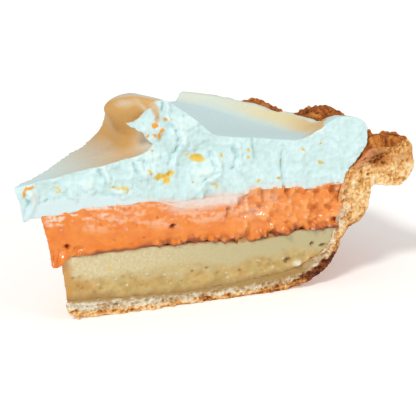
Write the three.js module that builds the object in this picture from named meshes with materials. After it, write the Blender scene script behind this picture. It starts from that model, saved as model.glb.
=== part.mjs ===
// A cut slice of layered cream pie: pastry crust, yellow custard, orange custard, whipped cream.
// Millimetres, +Z up. The slice is worked out round the pie's axis: the near cut face lies along
// +X at angle 0, the far cut face at the slice angle, and the pastry rim is farthest from the axis.
// At the end the slice is moved so that the origin is the bottom centre of its box.

import * as THREE from 'three';
import { mergeVertices } from 'three/addons/utils/BufferGeometryUtils.js';

// ---- driving dimensions ----

const sliceAngle = THREE.MathUtils.degToRad(42);
const touchGap = 0.3; // clear space between neighbouring layers
const yellowTop = 19.1; // height of the yellow layer's top face
const orangeTop = 33.2; // height of the orange layer's top face

// Tips: how far each layer's point stands from the pie's axis on the near cut face.
const crustTip = 12.4;
const yellowTip = { low: 12.3, high: 11 };
const orangeTip = { low: 8.6, high: 5.8 };
const creamTip = { low: 2.2, high: 0.6 };
const tipSlant = 0.95; // the torn tips run back to this much more radius at the far cut
const tipRound = 1.3; // power that rounds their near corner

// Crust section, from the point along the base, up the wall and over the folded rim.
// Each station pairs a point of the food side with one of the outside: [r, z, r, z].
const crustStations = [
  [crustTip, 6.3, crustTip + 0.4, 1.8],
  [22, 5.6, 21, 0],
  [52, 4.3, 52, 0],
  [79, 6.1, 80.5, 0],
  [89.5, 9.4, 91.5, 3.3],
  [95, 13.4, 97.8, 8.8],
  [97.4, 19, 101.4, 17],
  [98.2, 24, 106.8, 21.6],
  [98.7, 29.5, 109, 27],
  [100.4, 35.6, 110.2, 31.4],
  [104.2, 40.4, 115.6, 31],
  [107.9, 44.9, 121, 31],
  [111.6, 45.7, 124.4, 35.8],
  [117, 45.4, 123.9, 41.8],
];
const baseStation = 3; // where the base meets the wall on the food side
const rimTopStation = 11; // where the cream's edge lies on the rim
const rimStart = 9.6; // station where the wall turns into the rim
const rimFull = 11.6; // station from which the flutes have their full depth
const rimEdgeBulge = 1.6; // the rim's outer edge is round by this much
const tipBulge = 0.6; // and so is the base's torn point
const crustProud = 0.4; // the crust stands out of the cut faces by this much

// Fluted rim: finger-pinched knobs with hollows between them.
const knobAngles = [2, 18.5, 35]; // degrees from the near cut face
const knobHeights = [4.6, 7.4, 4.6];
const knobWidth = 5.4; // degrees
const fluteDip = 2.6; // the hollows lie this much below the rim's own section
const flutePull = 4; // and are pressed this much towards the axis at the rim's underside
const flutePullTop = 1.6; // and this much on top
const pullFade = 1.5; // lift of a knob at which the pull is a third of that

// Whipped cream: top face, curled peak, spatula valley and outer ring.
const creamAtPoint = 41.4;
const creamTipReach = 1.7; // the cream's point hangs out past the pie's axis
const creamTipLength = 14; // and is drawn out over this much of its length
const creamRise = 0.175; // gentle climb from the point towards the peak
const peak = {
  foot: 38.5, // distance along X of the hollow's foot under the curl, at the near cut
  footTurn: 0.22, // and nearer the point by this much for each millimetre into the slice
  flank: 3, // width of its steep side
  crest: 8.5, // from the foot to the far side of the crest
  tail: 17, // width of the ramp behind the crest
  height: 15.2, // above the slope where the crest is highest
  fullAt: 7, // this far into the slice
  fade: 0.24, // and lower by this much for each millimetre away from there
  lean: 10.4, // the curl hangs over towards the point by this much at the same place
  leanReach: 25, // and hangs over no more at this distance from it
  leanFrom: 50.5, // heights between which the lean grows
  leanTo: 61,
  leanStart: 4, // the lean starts this far before the foot
  leanEnd: 15, // the lean fades out over this much beyond the crest
};
const slopeHollow = 0.8; // the slope from the point dips this much between the cuts
const slopeEnd = 45; // radius past which the slope climbs no more
const valley = {
  height: 51.2, // at this distance along X:
  from: 60,
  fall: 0.13, // down for each millimetre towards the rim
  scoop: 1.4, // lower by this much between the cuts
  most: 3, // and nowhere higher than this above the slope
};
const ring = {
  inner: [81, 90, 84], // where the ring starts to rise: near cut, middle, far cut
  crest: [100, 97, 91.5], // where it is highest
  height: [8.3, 2.2, 2.7], // above the valley
  drop: [3.2, 2.2, 2.6], // from the crest to the outer edge
  dropFrom: 102.5, // radius where the drop starts
  edge: 107.3, // radius of the cream's outer edge above the rim
};

// Relief of the torn and cut faces: depth, and the size of one lump.
const creamTear = { depth: 0.55, size: 5.5 };
const orangeLump = { depth: 0.6, size: 4.5, smooth: 0.4, roughFrom: 60, roughTo: 80 };
const orangeBulge = 0.7; // the orange stands proud over the yellow
const yellowWave = { depth: 0.15, size: 7 };
const crustCrag = { depth: 0.5, size: 5 };
const otherSide = 30; // keeps the far face's lumps unlike the near face's

// ---- small tools ----

const lerp = THREE.MathUtils.lerp;

function ease(from, to, value) {
  return THREE.MathUtils.smoothstep(value, from, to);
}

// Value at the near cut, the middle and the far cut, joined by one smooth curve.
function across(values, share) {
  const [near, middle, far] = values;
  const first = near * (1 - share) * (1 - 2 * share);
  return first + middle * 4 * share * (1 - share) + far * share * (2 * share - 1);
}

// Even, repeatable lumps between about -1 and 1, each about size millimetres across.
function lumps(x, y, z, size) {
  const k = Math.PI / size;
  const a = Math.sin(k * x + 1.7 * Math.sin(0.6 * k * z + 0.4));
  const b = Math.sin(0.9 * k * z + 1.3 * Math.sin(0.7 * k * y + 2.1) + 0.8);
  const c = Math.sin(1.1 * k * y + 1.5 * Math.sin(0.5 * k * x + 1.2) + 1.9);
  return (a * b + b * c + c * a) / 1.6;
}

// Smooth curve through the crust stations, two numbers of each, at a station number.
function crustPoint(station, column) {
  const last = crustStations.length - 1;
  const index = Math.min(Math.floor(station), last - 1);
  const t = station - index;
  const pick = (i) => crustStations[THREE.MathUtils.clamp(i, 0, last)];
  const spline = (axis) => {
    const [p0, p1, p2, p3] = [-1, 0, 1, 2].map((step) => pick(index + step)[column + axis]);
    const bend = 2 * p0 - 5 * p1 + 4 * p2 - p3;
    const twist = 3 * (p1 - p2) + p3 - p0;
    return p1 + 0.5 * t * (p2 - p0 + t * (bend + t * twist));
  };
  return [spline(0), Math.max(0, spline(1))];
}

// Samples of the crust's food side, which the layers inside it follow.
const samplesPerStation = 40;
const foodSide = [];
for (let i = 0; i <= (crustStations.length - 1) * samplesPerStation; i += 1) {
  foodSide.push(crustPoint(i / samplesPerStation, 0));
}

function readCurve(points, from, to, value) {
  let i = 0;
  while (i < points.length - 2 && points[i + 1][from] < value) {
    i += 1;
  }
  const [low, high] = [points[i], points[i + 1]];
  const share = THREE.MathUtils.clamp((value - low[from]) / (high[from] - low[from]), 0, 1);
  return lerp(low[to], high[to], share);
}

const [baseEnd, baseHeight] = crustStations[baseStation];
const floorCurve = foodSide.slice(0, baseStation * samplesPerStation + 1);
const wallCurve = foodSide.slice(baseStation * samplesPerStation, rimTopStation * samplesPerStation + 1);
const floorHeight = (r) => readCurve(floorCurve, 0, 1, r);
const wallRadius = (z) => readCurve(wallCurve, 1, 0, z);

// Outer radius at height z of what fills the crust, clear of its sloping wall.
const fillRadius = (z) => wallRadius(z - touchGap) - touchGap;

// Radius of a torn tip at a share of the slice angle.
function tipRadius(nearRadius, share) {
  return nearRadius * (1 + tipSlant * share ** tipRound);
}

// Closed block: a box grid whose points are placed by place(along, share, up), all from 0 to 1.
// along runs from the point to the rim, share from the near to the far cut, up from below to above.
function bentBlock(name, counts, place, colour, roughness) {
  const box = new THREE.BoxGeometry(1, 1, 1, counts.along, counts.share, counts.up);
  box.deleteAttribute('normal');
  box.deleteAttribute('uv');
  const geometry = mergeVertices(box);
  const position = geometry.attributes.position;
  for (let i = 0; i < position.count; i += 1) {
    const along = position.getX(i) + 0.5;
    const share = position.getY(i) + 0.5;
    const up = position.getZ(i) + 0.5;
    position.setXYZ(i, ...place(along, share, up));
  }
  geometry.computeVertexNormals();
  const material = new THREE.MeshStandardMaterial({ color: colour, roughness, metalness: 0 });
  const mesh = new THREE.Mesh(geometry, material);
  mesh.name = name;
  return mesh;
}

// Point at radius r, share of the slice angle and height z, pushed out of the cut faces.
function slicePoint(r, share, z, nearPush, farPush) {
  const angle = share * sliceAngle;
  const push = share === 0 ? -nearPush : share === 1 ? farPush : 0;
  const x = r * Math.cos(angle) - push * Math.sin(angle);
  const y = r * Math.sin(angle) + push * Math.cos(angle);
  return [x, y, z];
}

// ---- pastry crust ----

function knobLift(share) {
  const degrees = THREE.MathUtils.radToDeg(share * sliceAngle);
  return knobAngles.reduce((lift, centre, i) => {
    const away = (degrees - centre) / knobWidth;
    return lift + knobHeights[i] * Math.exp(-away * away);
  }, 0);
}

// Base radii stretched from the torn point of the slice to the foot of the wall.
function stretchBase(r, share) {
  const part = (baseEnd - r) / (baseEnd - crustTip);
  return r < baseEnd ? lerp(baseEnd, tipRadius(crustTip, share), part) : r;
}

function placeCrust(along, share, up) {
  const station = along * (crustStations.length - 1);
  const [foodR, foodZ] = crustPoint(station, 0);
  const [outsideR, outsideZ] = crustPoint(station, 2);
  const innerR = stretchBase(foodR, share);
  const innerZ = station < baseStation ? floorHeight(innerR) : foodZ;
  const outerR = stretchBase(outsideR, share);
  const rim = ease(rimStart, rimFull, station);
  const lift = knobLift(share);
  const pulled = lerp(flutePull, flutePullTop, up) * Math.exp(-lift / pullFade);
  const edge = ease(rimFull, crustStations.length - 1, station);
  const round = rimEdgeBulge * edge * Math.sin(Math.PI * up);
  const tip = along === 0 ? tipBulge * Math.sin(Math.PI * up) : 0;
  let r = lerp(outerR, innerR, up) - rim * pulled + round - tip;
  let z = lerp(outsideZ, innerZ, up) + up * (lift - fluteDip) * fluteLevel(station) + round;
  const crag = crustCrag.depth * lumps(r, r * share, z, crustCrag.size);
  if (up === 0 && station > baseStation + 1) {
    r += crag;
    z += rim * crag;
  }
  if (up === 1 && station > rimTopStation) {
    z += crag;
  }
  const proud = crustProud + crag;
  return slicePoint(r, share, z, proud, proud);
}

// The rim's flutes fade towards its inner edge, where the cream lies on it.
function fluteLevel(station) {
  return ease(rimTopStation - 0.4, rimTopStation + 1.2, station);
}

// ---- custard layers ----

function placeLayer(tip, low, high, relief) {
  return (along, share, up) => {
    const start = tipRadius(lerp(tip.low, tip.high, up), share);
    const r = lerp(start, fillRadius(lerp(low, high, up)), along);
    const onFloor = low < yellowTop ? floorHeight(r) + touchGap : low;
    const z = lerp(onFloor, high, up);
    const [nearPush, farPush] = relief(r, z, up);
    return slicePoint(r, share, z, nearPush, farPush);
  };
}

function yellowRelief(r, z) {
  const { depth, size } = yellowWave;
  return [depth * lumps(r, 0, z, size), depth * lumps(r, otherSide, z, size)];
}

function orangeRelief(r, z, up) {
  const bead = orangeBulge * (1 - up) ** 2;
  const { depth, size, smooth, roughFrom, roughTo } = orangeLump;
  const rough = depth * lerp(smooth, 1, ease(roughFrom, roughTo, r));
  return [bead + rough * lumps(r, 0, z, size), bead + rough * lumps(r, otherSide, z, size)];
}

// ---- whipped cream ----

const peakFoot = (y) => peak.foot - peak.footTurn * y;

function creamHeight(r, share) {
  const x = r * Math.cos(share * sliceAngle);
  const y = r * Math.sin(share * sliceAngle);
  const middle = Math.sin(Math.PI * share);
  const hollow = slopeHollow * middle * ease(0, slopeEnd, r);
  const slope = creamAtPoint + creamRise * Math.min(r, slopeEnd) - hollow;
  const behind = x - peakFoot(y);
  const flank = ease(0, peak.flank, behind);
  const past = ease(peak.crest, peak.crest + peak.tail, behind);
  const top = (peak.height - peak.fade * Math.abs(y - peak.fullAt)) * flank * (1 - past);
  const floor = valley.height - valley.fall * (x - valley.from) - valley.scoop * middle ** 2;
  const base = lerp(slope, Math.min(floor, slope + valley.most), past);
  const inner = across(ring.inner, share);
  const crest = across(ring.crest, share);
  const rise = across(ring.height, share) * ease(inner, crest, r);
  const fall = across(ring.drop, share) * ease(ring.dropFrom, ring.edge, r);
  return base + top + rise - fall;
}

// Pushes what is high on the peak over towards the point, so that the crest curls.
function curl(point) {
  const [x, y, z] = point;
  const foot = peakFoot(y);
  const high = ease(peak.leanFrom, peak.leanTo, z);
  const close = 1 - ease(foot + peak.crest, foot + peak.crest + peak.leanEnd, x);
  const ridge = ease(foot - peak.leanStart, foot, x);
  const away = (y - peak.fullAt) / peak.leanReach;
  const lean = peak.lean * Math.max(0, 1 - away * away) * high * close * ridge;
  return [x - lean, y, z];
}

// Spreads the grid lines so that they are closest at the steep side of the peak.
function creamAlong(along, share) {
  const angle = share * sliceAngle;
  const foot = peak.foot / (Math.cos(angle) + peak.footTurn * Math.sin(angle));
  const knots = [
    [0, 0],
    [0.24, foot - 2],
    [0.42, foot + peak.flank + 2],
    [0.66, foot + peak.crest + peak.tail],
    [1, ring.edge],
  ];
  return readCurve(knots, 0, 1, along) / ring.edge;
}

function placeCream(along, share, up) {
  const spread = creamAlong(along, share);
  const bottom = orangeTop + touchGap;
  const edgeTop = creamHeight(ring.edge, share);
  const nominal = lerp(bottom, edgeTop, up);
  const start = tipRadius(lerp(creamTip.low, creamTip.high, up), share);
  const end = Math.min(fillRadius(nominal), ring.edge);
  const r = lerp(start, end, spread);
  const topR = lerp(tipRadius(creamTip.high, share), ring.edge, spread);
  const z = lerp(bottom, creamHeight(topR, share), up);
  const { depth, size } = creamTear;
  const nearPush = depth * lumps(r, 0, z, size);
  const farPush = depth * lumps(r, otherSide, z, size);
  const [x, y] = slicePoint(r, share, z, nearPush, farPush);
  const reach = creamTipReach * Math.max(0, 1 - r / creamTipLength) ** 2;
  return curl([x - reach, y, z]);
}

// ---- the slice ----

const slice = new THREE.Group();
const layerGap = touchGap / 2;
slice.add(bentBlock('crust', { along: 36, share: 30, up: 3 }, placeCrust, '#dba46c', 0.85));
slice.add(bentBlock(
  'yellow_layer',
  { along: 20, share: 6, up: 4 },
  placeLayer(yellowTip, baseHeight + touchGap, yellowTop - layerGap, yellowRelief),
  '#d0c18e',
  0.35,
));
slice.add(bentBlock(
  'orange_layer',
  { along: 30, share: 8, up: 5 },
  placeLayer(orangeTip, yellowTop + layerGap, orangeTop, orangeRelief),
  '#f4964f',
  0.35,
));
slice.add(bentBlock('whipped_cream', { along: 44, share: 20, up: 8 }, placeCream, '#dff5f6', 0.6));

// Bottom centre of the whole slice's box to the origin.
const box = new THREE.Box3().setFromObject(slice);
const centre = box.getCenter(new THREE.Vector3());
slice.position.set(-centre.x, -centre.y, -box.min.z);

export default slice;
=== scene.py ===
import math

import bpy
import numpy as np
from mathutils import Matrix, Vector, kdtree, noise


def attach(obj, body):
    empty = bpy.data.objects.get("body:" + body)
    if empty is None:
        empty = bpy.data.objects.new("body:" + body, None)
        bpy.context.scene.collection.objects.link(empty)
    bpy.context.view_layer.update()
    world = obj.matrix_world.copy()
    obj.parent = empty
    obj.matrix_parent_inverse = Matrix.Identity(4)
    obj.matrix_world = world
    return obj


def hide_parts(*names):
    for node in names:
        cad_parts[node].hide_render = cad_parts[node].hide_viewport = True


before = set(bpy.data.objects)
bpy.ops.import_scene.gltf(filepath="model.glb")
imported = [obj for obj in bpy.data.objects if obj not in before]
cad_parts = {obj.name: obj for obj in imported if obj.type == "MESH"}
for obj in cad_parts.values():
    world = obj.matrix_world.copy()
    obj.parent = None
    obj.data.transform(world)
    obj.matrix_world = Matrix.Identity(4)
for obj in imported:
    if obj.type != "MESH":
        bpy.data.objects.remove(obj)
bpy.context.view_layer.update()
print("frame loaded")

mm = 0.001

# The slice: millimetres round the pie's axis, with the near cut face along +X.
slicePlan = {
    "angle": 42.0,  # degrees between the two cut faces
    "axis": (-61.87, -40.42),  # where the pie's axis stands in the frame
    "yellowTop": 19.1,
    "orangeTop": 33.2,
    "tipSlant": 0.95,  # the torn tips run back to this much more radius at the far cut
    "tipRound": 1.3,
    "overlap": 0.35,  # layers reach over each other by this much on the cut faces
    "lap": (-1.6, -0.4),  # and onto the crust, starting and full this far short of its wall
    "farWave": (0.8, 9),  # height and length of the joints' waves on the far cut
    "creamJoint": [  # along the near cut, how far cream and orange meet above the layer's height
        (2, -0.9), (9, -0.9), (14, -0.4), (22, 0.4), (29, 0.3), (37, 0.1), (43, -0.8), (52, -1), (61, -0.6),
        (66, -0.6), (71.7, 0.9), (76, 0.7), (80.7, 0.6), (88.4, -0.6), (96, 0.1),
    ],
    "yellowJoint": [  # and orange and yellow
        (10, -1.4), (13, 0), (20, 0.2), (36, 0.5), (48, 0.1), (56, 0), (65.5, -1.4), (75, -1.2), (80.5, -0.8),
        (86, 0.2), (94, -0.2), (100, 0.3),
    ],
}
turn = math.radians(slicePlan["angle"])
nearOut = np.array([0, -1, 0])
farOut = np.array([-math.sin(turn), math.cos(turn), 0])


# Small tools for shapes.

def ease(low, high, value):
    t = np.clip((value - low) / (high - low), 0, 1)
    return t * t * (3 - 2 * t)


def within(value, start, full, fade, end):  # rises from start to full, falls again from fade to end
    return ease(start, full, value) * (1 - ease(fade, end, value))


def lerp(a, b, t):
    return a + (b - a) * t


def curveAt(knots, value):  # smooth curve through (value, result) pairs
    xs, ys = (np.array(column, float) for column in zip(*knots))
    slopes = np.gradient(ys, xs)
    value = np.clip(value, xs[0], xs[-1])
    i = np.clip(np.searchsorted(xs, value) - 1, 0, len(xs) - 2)
    step = xs[i + 1] - xs[i]
    t = (value - xs[i]) / step
    a = 2 * t ** 3 - 3 * t ** 2 + 1
    b = t ** 3 - 2 * t ** 2 + t
    c = 3 * t ** 2 - 2 * t ** 3
    d = t ** 3 - t ** 2
    return a * ys[i] + b * step * slopes[i] + c * ys[i + 1] + d * step * slopes[i + 1]


def noiseAt(points, size, shift, octaves=1):  # soft noise, about -1 to 1, one lump per size
    scaled = (np.asarray(points, float) / np.asarray(size, float) + shift).tolist()
    if octaves == 1:
        return np.array([noise.noise(p) for p in scaled])
    return np.array([noise.fractal(p, 0.8, 2.1, octaves) for p in scaled])


def combed(points, lean, size, shift, octaves=1):  # noise drawn out in lines that lean left from upright
    c, d = np.cos(np.radians(lean)), np.sin(np.radians(lean))
    x, y, z = points.T
    return noiseAt(np.column_stack([x * c + z * d, y, z * c - x * d]), size, shift, octaves)


def cellsAt(points, size, shift):  # distance to the nearest cell's middle, and that cell's own number
    scaled = (np.asarray(points, float) / np.asarray(size, float) + shift).tolist()
    away, number = np.zeros(len(scaled)), np.zeros(len(scaled))
    for i, p in enumerate(scaled):
        distances, places = noise.voronoi(p)
        away[i] = distances[0]
        number[i] = 0.5 + 0.5 * noise.cell(places[0] * 7.3)
    return away, number


def terrace(value, sharp):  # flat plates with steep edges
    plate = np.floor(value)
    return plate + ease(sharp, 1, value - plate)


def spot(x, z, mark):  # 1 in the middle of a tilted oval, 0 at its edge
    across, high, wide, tall, tilt = mark[:5]
    c, d = math.cos(math.radians(tilt)), math.sin(math.radians(tilt))
    u = ((x - across) * c + (z - high) * d) / wide
    v = (-(x - across) * d + (z - high) * c) / tall
    return 1 - ease(0.15, 1, np.hypot(u, v))


def stroke(x, z, route, width):  # 1 on a line through the route's points, 0 a width away
    away = np.full(len(x), 1e9)
    for (x0, z0), (x1, z1) in zip(route, route[1:]):
        span = (x1 - x0) ** 2 + (z1 - z0) ** 2
        t = np.clip(((x - x0) * (x1 - x0) + (z - z0) * (z1 - z0)) / span, 0, 1)
        away = np.minimum(away, np.hypot(x - x0 - t * (x1 - x0), z - z0 - t * (z1 - z0)))
    return 1 - ease(0, width, away)


def most(parts):  # the strongest of several masks
    return np.max(np.array(list(parts)), axis=0)


def spots(x, z, marks):
    return most(spot(x, z, mark) for mark in marks)


def strokes(x, z, routes, width):
    return most(stroke(x, z, route, width) for route in routes)


def pick(*objects):
    if bpy.context.object and bpy.context.object.mode != "OBJECT":
        bpy.ops.object.mode_set(mode="OBJECT")
    bpy.ops.object.select_all(action="DESELECT")
    for obj in objects:
        obj.select_set(True)
        bpy.context.view_layer.objects.active = obj


def readPoints(obj):  # vertices in millimetres round the pie's axis
    flat = np.zeros(len(obj.data.vertices) * 3)
    obj.data.vertices.foreach_get("co", flat)
    points = flat.reshape(-1, 3) / mm
    points[:, :2] -= slicePlan["axis"]
    return points


def writePoints(obj, points):
    placed = np.array(points, float)
    placed[:, :2] += slicePlan["axis"]
    obj.data.vertices.foreach_set("co", (placed * mm).ravel())
    obj.data.update()


def readNormals(obj):
    flat = np.zeros(len(obj.data.vertices) * 3)
    obj.data.vertex_normals.foreach_get("vector", flat)
    return flat.reshape(-1, 3)


def addMask(obj, name, values):
    layer = obj.data.attributes.new(name, "FLOAT", "POINT")
    layer.data.foreach_set("value", np.clip(values, -2, 2).astype(np.float32))


def bentBlock(name, counts, place):  # a flat grid pulled up in steps, then bent into its place
    along, share, up = counts
    pick()
    middle = (0.5, 0.5, 0)
    bpy.ops.mesh.primitive_grid_add(x_subdivisions=along, y_subdivisions=share, size=1, location=middle)
    block = bpy.context.object
    block.name = block.data.name = name
    bpy.ops.object.transform_apply(location=True)
    bpy.ops.object.mode_set(mode="EDIT")
    bpy.ops.mesh.select_all(action="SELECT")
    for _ in range(up):
        bpy.ops.mesh.extrude_region_move(TRANSFORM_OT_translate={"value": (0, 0, 1 / up)})
    bpy.ops.object.mode_set(mode="OBJECT")
    flat = np.zeros(len(block.data.vertices) * 3)
    block.data.vertices.foreach_get("co", flat)
    u, share, w = np.clip(flat.reshape(-1, 3), 0, 1).T
    writePoints(block, np.column_stack(place(u, share, w)))
    bpy.ops.object.mode_set(mode="EDIT")
    bpy.ops.mesh.select_all(action="SELECT")
    bpy.ops.mesh.normals_make_consistent(inside=False)
    bpy.ops.object.mode_set(mode="OBJECT")
    return block


def evenOut(obj, voxel):  # the same shape in small even faces
    pick(obj)
    bpy.ops.object.modifier_add(type="REMESH")
    mod = obj.modifiers[-1]
    mod.mode = "VOXEL"
    mod.voxel_size = voxel * mm
    mod.use_smooth_shade = True
    bpy.ops.object.modifier_apply(modifier=mod.name)


def thinHidden(obj, hidden, keep):  # fewer faces where other layers cover the surface
    group = obj.vertex_groups.new(name="hidden")
    group.add(np.flatnonzero(hidden).tolist(), 1.0, "REPLACE")
    faces = len(obj.data.polygons)
    pick(obj)
    bpy.ops.object.modifier_add(type="DECIMATE")
    mod = obj.modifiers[-1]
    mod.vertex_group = "hidden"
    mod.vertex_group_factor = 10
    mod.ratio = 1 - (1 - keep) * float(np.mean(hidden))
    bpy.ops.object.modifier_apply(modifier=mod.name)
    obj.vertex_groups.remove(obj.vertex_groups["hidden"])
    print(obj.name, faces * 2, "to", sum(len(face.vertices) - 2 for face in obj.data.polygons), "triangles")


def atSlice(r, share, z):  # radius, share of the angle and height to a point
    return r * np.cos(share * turn), r * np.sin(share * turn), z


def tipRadius(near, share):
    return near * (1 + slicePlan["tipSlant"] * share ** slicePlan["tipRound"])


def cutFaces(points, deep):  # 1 on the near or the far cut face, 0 at this depth inside
    x, y = points[:, 0], points[:, 1]
    farAway = x * math.sin(turn) - y * math.cos(turn)
    return 1 - ease(0.2 * deep, deep, y), 1 - ease(0.2 * deep, deep, farAway)


def facing(normals, near, far):  # 1 on the two cut faces alone, 0 on every other side
    nearFace = near * ease(0.4, 0.75, normals @ nearOut)
    return nearFace, np.maximum(nearFace, far * ease(0.4, 0.75, normals @ farOut))


def jointLift(points, knots, near, far):  # a joint rises and dips along the cut faces
    height, length = slicePlan["farWave"]
    return near * curveAt(knots, points[:, 0]) + far * height * noiseAt(points, length, 2.8)


def meetWall(points, cut, ragged=0):  # a layer's outer end laps onto the crust at the cut faces
    r = np.hypot(points[:, 0], points[:, 1])
    atWall = cut * ease(*slicePlan["lap"], r - wallRadius(points[:, 2]))
    reach = slicePlan["overlap"] + ragged * np.maximum(0, noiseAt(points, 2.6, 6.8, 2))
    points[:, :2] *= (1 + reach * atWall / np.maximum(r, 1))[:, None]


def pushCuts(points, near, far, nearPush, farPush):  # moves the two cut faces in or out
    return points + nearOut * (near * nearPush)[:, None] + farOut * (far * farPush)[:, None]


# Pastry crust.

crustPlan = {
    "stations": [  # food side r, z and outside r, z, from the point to the rim's edge
        (12.4, 6.3, 12.8, 1.8), (22, 5.6, 21, 0), (52, 4.3, 52, 0), (79, 6.1, 80.5, 0),
        (89.5, 9.4, 91.5, 3.3), (95, 13.4, 97.8, 8.8), (97.4, 19, 101.4, 17),
        (98.2, 24, 107.5, 21.5), (98.7, 29.5, 109.4, 27), (100.4, 35.6, 110.2, 31.4),
        (104.2, 40.4, 115.6, 31), (107.9, 44.9, 121, 31), (111.6, 45.7, 124.4, 35.8),
        (117, 45.4, 123.9, 41.8),
    ],
    "baseStation": 3,  # where the base meets the wall
    "rimTopStation": 11,
    "rimStart": 9.6,
    "rimFull": 11.6,
    "edgeBulge": 1.6,
    "tipBulge": 0.6,
    "proud": 0.2,  # stands out of the cut faces
    "knobAngles": (2, 18.5, 35),
    "knobHeights": (5.4, 8.4, 5.6),
    "knobWidth": 5.2,
    "fluteDip": 4.4,
    "pull": (4, 1.6),  # hollows pressed in, below and on top
    "pullFade": 1.5,
    "cutDip": 2.4,  # the rim's top is torn down this much at the near cut
    "hollow": (112.3, 40.3, 6, 4.8, -10),  # open crumb in the rim's near cut, darkened with painted shade
    "brownPatch": (102.6, 37, 5.5, 4, 30),
    "crumbs": 16,  # loose ones along the near cut's foot
    "crumbSizes": (0.5, 1.1),
    "crumbsAlong": (13, 86),
    "lumpSize": 4.2,
    "crumbSize": 2.1,
    "grainSize": 0.95,
    "sandSize": 0.6,
    "sheetSize": (4.5, 4.5, 0.8),  # flaky sheets lie flat in the base
    "holeSize": (2.2, 2.2, 1.7),
    "counts": (110, 74, 8),
    "voxel": 0.4,
    "reliefDepth": 1.6,  # the cuts' relief fades out this far inside
    # along the tone, which carries painted light on raised crumb and painted shade in pits
    "golden": [(0.08, "#6b3312"), (0.26, "#a9622a"), (0.42, "#d3974f"), (0.62, "#efc78a"), (0.88, "#fdebc6")],
    "coats": {
        "pale": [(0.08, "#9a6f3e"), (0.3, "#b99c6c"), (0.5, "#d3c8b0"), (0.75, "#f0ece0")],
        "soaked": "#ab8b55",  # wet from the custard
        "toasted": "#c47a35",
        "stained": "#d98a4c",
        "mauve": "#ab7a58",
        "rosy": "#dd8c62",
        "skin": [(0.1, "#4a1e08"), (0.45, "#9c5015"), (0.85, "#d98f3f")],
    },
}
stations = np.array(crustPlan["stations"], float)
lastStation = len(stations) - 1


def crustPoint(station, column):  # Catmull-Rom through the stations
    i = np.minimum(np.floor(station).astype(int), lastStation - 1)
    t = station - i
    p0, p1, p2, p3 = (stations[np.clip(i + k, 0, lastStation), column] for k in (-1, 0, 1, 2))
    bend = 2 * p0 - 5 * p1 + 4 * p2 - p3
    twist = 3 * (p1 - p2) + p3 - p0
    value = p1 + 0.5 * t * (p2 - p0 + t * (bend + t * twist))
    return np.maximum(value, 0) if column in (1, 3) else value


fineStations = np.linspace(0, lastStation, 40 * lastStation + 1)
foodR, foodZ = crustPoint(fineStations, 0), crustPoint(fineStations, 1)
onBase = fineStations <= crustPlan["baseStation"]
onWall = ~onBase & (fineStations <= crustPlan["rimTopStation"])


def floorHeight(r):
    return np.interp(r, foodR[onBase], foodZ[onBase])


def wallRadius(z):
    return np.interp(z, foodZ[onWall], foodR[onWall])


def knobLift(share):
    lift = 0
    for centre, height in zip(crustPlan["knobAngles"], crustPlan["knobHeights"]):
        away = (share * slicePlan["angle"] - centre) / crustPlan["knobWidth"]
        lift = lift + height * np.exp(-away ** 2)
    return lift


def placeCrust(u, share, w):
    plan = crustPlan
    station = u * lastStation
    tip, end = stations[0, 0], stations[plan["baseStation"], 0]

    def stretch(r):
        stretched = lerp(end, tipRadius(tip, share), (end - r) / (end - tip))
        return np.where(r < end, stretched, r)

    innerR = stretch(crustPoint(station, 0))
    innerZ = np.where(station < plan["baseStation"], floorHeight(innerR), crustPoint(station, 1))
    outerR, outerZ = stretch(crustPoint(station, 2)), crustPoint(station, 3)
    rim = ease(plan["rimStart"], plan["rimFull"], station)
    lift = knobLift(share)
    pulled = lerp(plan["pull"][0], plan["pull"][1], w) * np.exp(-lift / plan["pullFade"])
    edge = ease(plan["rimFull"], lastStation, station)
    roundOff = plan["edgeBulge"] * edge * np.sin(np.pi * w)
    tipOff = np.where(u < 1e-6, plan["tipBulge"] * np.sin(np.pi * w), 0)
    level = ease(plan["rimTopStation"] - 0.4, plan["rimTopStation"] + 1.2, station)
    r = lerp(outerR, innerR, w) - rim * pulled + roundOff - tipOff
    z = lerp(outerZ, innerZ, w) + w * (lift - plan["fluteDip"]) * level + roundOff
    x, y, z = atSlice(r, share, z)
    side = np.where(share < 1e-6, -plan["proud"], np.where(share > 1 - 1e-6, plan["proud"], 0))
    return x - side * np.sin(share * turn), y + side * np.cos(share * turn), z


def crustSection(points):  # station along the section, and 0 outside to 1 on the food side
    u, share, w = (grid.ravel() for grid in np.meshgrid(
        np.linspace(0, 1, 131), np.linspace(0, 1, 11), np.linspace(0, 1, 13)))
    places = np.column_stack(placeCrust(u, share, w)).tolist()
    tree = kdtree.KDTree(len(places))
    for i, place in enumerate(places):
        tree.insert(place, i)
    tree.balance()
    station, inner = np.zeros(len(points)), np.zeros(len(points))
    for i, place in enumerate(points.tolist()):
        found = [(index, 1 / (away + 0.05) ** 2) for _, index, away in tree.find_n(place, 3)]
        total = sum(weight for _, weight in found)
        station[i] = sum(u[index] * weight for index, weight in found) / total
        inner[i] = sum(w[index] * weight for index, weight in found) / total
    return station * lastStation, inner


def addCrumbs():
    chance = np.random.default_rng(11)
    for _ in range(crustPlan["crumbs"]):
        size = chance.uniform(*crustPlan["crumbSizes"])
        along = chance.uniform(*crustPlan["crumbsAlong"])
        place = np.array([along, chance.uniform(-0.5, 0.1), 0.8 * size])
        place[:2] += slicePlan["axis"]
        bpy.ops.mesh.primitive_ico_sphere_add(subdivisions=1, radius=size * mm, location=place * mm)
        yield bpy.context.object


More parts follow.
